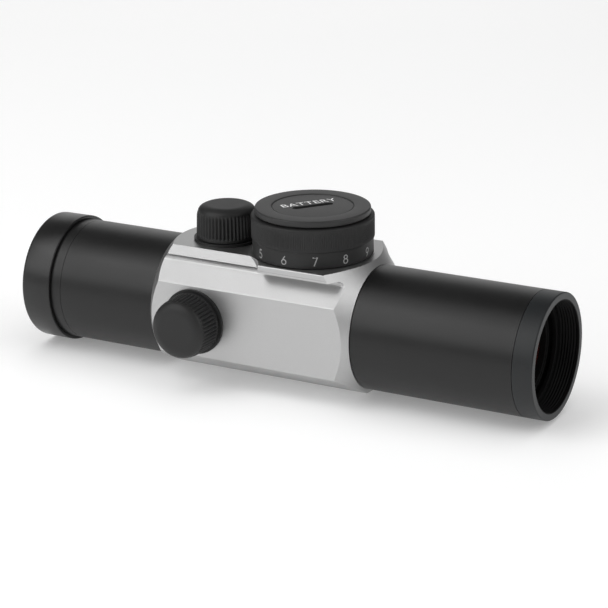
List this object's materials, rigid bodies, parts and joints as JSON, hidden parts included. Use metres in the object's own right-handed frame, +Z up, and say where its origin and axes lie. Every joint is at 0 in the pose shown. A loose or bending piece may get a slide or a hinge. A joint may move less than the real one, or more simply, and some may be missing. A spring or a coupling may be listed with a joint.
{
  "type": "finder scope",
  "caption": "Tube reflex finder scope with a numbered brightness dial on top, capped adjustment turrets, a threaded front rim and a slip-on rear cap.",
  "frame": {"origin": "centre of the objective rim, on the optical axis", "axes": "+X along the optical axis towards the sky, +Z up towards the brightness dial, windage turret on -Y"},
  "size_m": [0.1378, 0.0418, 0.0439],
  "materials": {
    "silver_aluminium": "bead-blasted, satin anodised",
    "black_aluminium": "matt black anodised",
    "black_plastic": "satin",
    "rubber": "matt",
    "steel": "bright",
    "glass": "polished",
    "coated_glass": "polished, red reflective coating",
    "contact_brass": "plated",
    "board": "solder mask",
    "cell_steel": "bright"
  },
  "bodies": {
    "frame": {"housing": "silver_aluminium", "front_tube": "black_aluminium", "rear_tube": "black_aluminium", "objective_ring": "black_aluminium", "ocular_ring": "black_aluminium", "ocular_window": "glass", "ocular_seal": "rubber", "ocular_retainer": "black_aluminium", "yaw_pins": "steel", "elevation_base": "black_aluminium", "windage_base": "black_aluminium", "elevation_snap_ring": "steel", "windage_snap_ring": "steel", "elevation_return_spring": "steel", "windage_return_spring": "steel", "switch_base": "black_aluminium", "base_screws": "steel", "circuit_board": "board", "board_leads": "rubber", "detent_ball": "steel", "detent_spring": "steel", "dial_clip": "steel"},
    "gimbal": {"gimbal_ring": "black_aluminium"},
    "carrier": {"inner_tube": "black_aluminium", "pitch_pins": "steel", "objective_lens": "coated_glass", "lens_retainer": "black_aluminium", "emitter_bracket": "black_plastic", "led_emitter": "glass", "emitter_flex": "board"},
    "brightness_dial": {"dial": "black_aluminium", "wiper_contact": "contact_brass", "battery_contact": "contact_brass", "battery_holder": "black_plastic", "battery": "cell_steel"},
    "battery_cap_ring": {"battery_cap_seal": "rubber"},
    "battery_cover": {"battery_cap": "black_aluminium", "cap_spring": "contact_brass"},
    "rear_cover": {"rear_cap": "black_plastic"},
    "elevation_adjuster": {"elevation_screw": "steel", "elevation_screw_seal": "rubber", "elevation_click_ball": "steel", "elevation_click_spring": "steel"},
    "elevation_pusher": {"elevation_plunger": "steel"},
    "elevation_cap_ring": {"elevation_cap_gasket": "rubber"},
    "elevation_cover": {"elevation_cap": "black_aluminium"},
    "windage_adjuster": {"windage_screw": "steel", "windage_screw_seal": "rubber", "windage_click_ball": "steel", "windage_click_spring": "steel"},
    "windage_pusher": {"windage_plunger": "steel"},
    "windage_cap_ring": {"windage_cap_gasket": "rubber"},
    "windage_cover": {"windage_cap": "black_aluminium"}
  },
  "joints": [
    {"name": "dial_turn", "type": "hinge", "parent": "frame", "child": "brightness_dial", "pos_m": [-0.06335, 0, 0.0163], "axis": [0, 0, 1], "range_deg": [-330, 0]},
    {"name": "battery_cap_lift", "type": "slide", "parent": "brightness_dial", "child": "battery_cap_ring", "axis": [0, 0, 1], "range_m": [0, 0.0018]},
    {"name": "battery_cap_turn", "type": "hinge", "parent": "battery_cap_ring", "child": "battery_cover", "pos_m": [-0.06335, 0, 0.0263], "axis": [0, 0, 1], "range_deg": [0, 1081]},
    {"name": "inner_tube_yaw", "type": "hinge", "parent": "frame", "child": "gimbal", "pos_m": [-0.0115, 0, 0], "axis": [0, 0, 1], "range_deg": [-0.76, 0.76], "deforming": ["windage_return_spring"]},
    {"name": "inner_tube_pitch", "type": "hinge", "parent": "gimbal", "child": "carrier", "pos_m": [-0.0115, 0, 0], "axis": [0, 1, 0], "range_deg": [-0.76, 0.76], "deforming": ["elevation_return_spring"]},
    {"name": "rear_cap_slide", "type": "slide", "parent": "frame", "child": "rear_cover", "axis": [-1, 0, 0], "range_m": [0, 0.018]},
    {"name": "elevation_screw_turn", "type": "hinge", "parent": "frame", "child": "elevation_adjuster", "pos_m": [-0.0871, 0, 0.0163], "axis": [0, 0, 1], "range_deg": [-710, 710]},
    {"name": "elevation_plunger_slide", "type": "slide", "parent": "frame", "child": "elevation_pusher", "axis": [0, 0, 1], "range_m": [-0.00098, 0.00098]},
    {"name": "elevation_cap_lift", "type": "slide", "parent": "frame", "child": "elevation_cap_ring", "axis": [0, 0, 1], "range_m": [0, 0.003]},
    {"name": "elevation_cap_turn", "type": "hinge", "parent": "elevation_cap_ring", "child": "elevation_cover", "pos_m": [-0.0871, 0, 0.0163], "axis": [0, 0, 1], "range_deg": [0, 1441]},
    {"name": "windage_screw_turn", "type": "hinge", "parent": "frame", "child": "windage_adjuster", "pos_m": [-0.0871, -0.01646, 0], "axis": [0, -1, 0], "range_deg": [-710, 710]},
    {"name": "windage_plunger_slide", "type": "slide", "parent": "frame", "child": "windage_pusher", "axis": [0, -1, 0], "range_m": [-0.00098, 0.00098]},
    {"name": "windage_cap_lift", "type": "slide", "parent": "frame", "child": "windage_cap_ring", "axis": [0, -1, 0], "range_m": [0, 0.003]},
    {"name": "windage_cap_turn", "type": "hinge", "parent": "windage_cap_ring", "child": "windage_cover", "pos_m": [-0.0871, -0.01646, 0], "axis": [0, -1, 0], "range_deg": [0, 1441]}
  ],
  "couplings": [
    {"joint": "battery_cap_turn", "follows": "battery_cap_lift", "rad_per_m": 10472},
    {"joint": "inner_tube_pitch", "follows": "elevation_plunger_slide", "rad_per_m": 13.228},
    {"joint": "inner_tube_yaw", "follows": "windage_plunger_slide", "rad_per_m": 13.228},
    {"joint": "elevation_screw_turn", "follows": "elevation_plunger_slide", "rad_per_m": 12566},
    {"joint": "elevation_cap_turn", "follows": "elevation_cap_lift", "rad_per_m": 8377.6},
    {"joint": "windage_screw_turn", "follows": "windage_plunger_slide", "rad_per_m": 12566},
    {"joint": "windage_cap_turn", "follows": "windage_cap_lift", "rad_per_m": 8377.6}
  ]
}
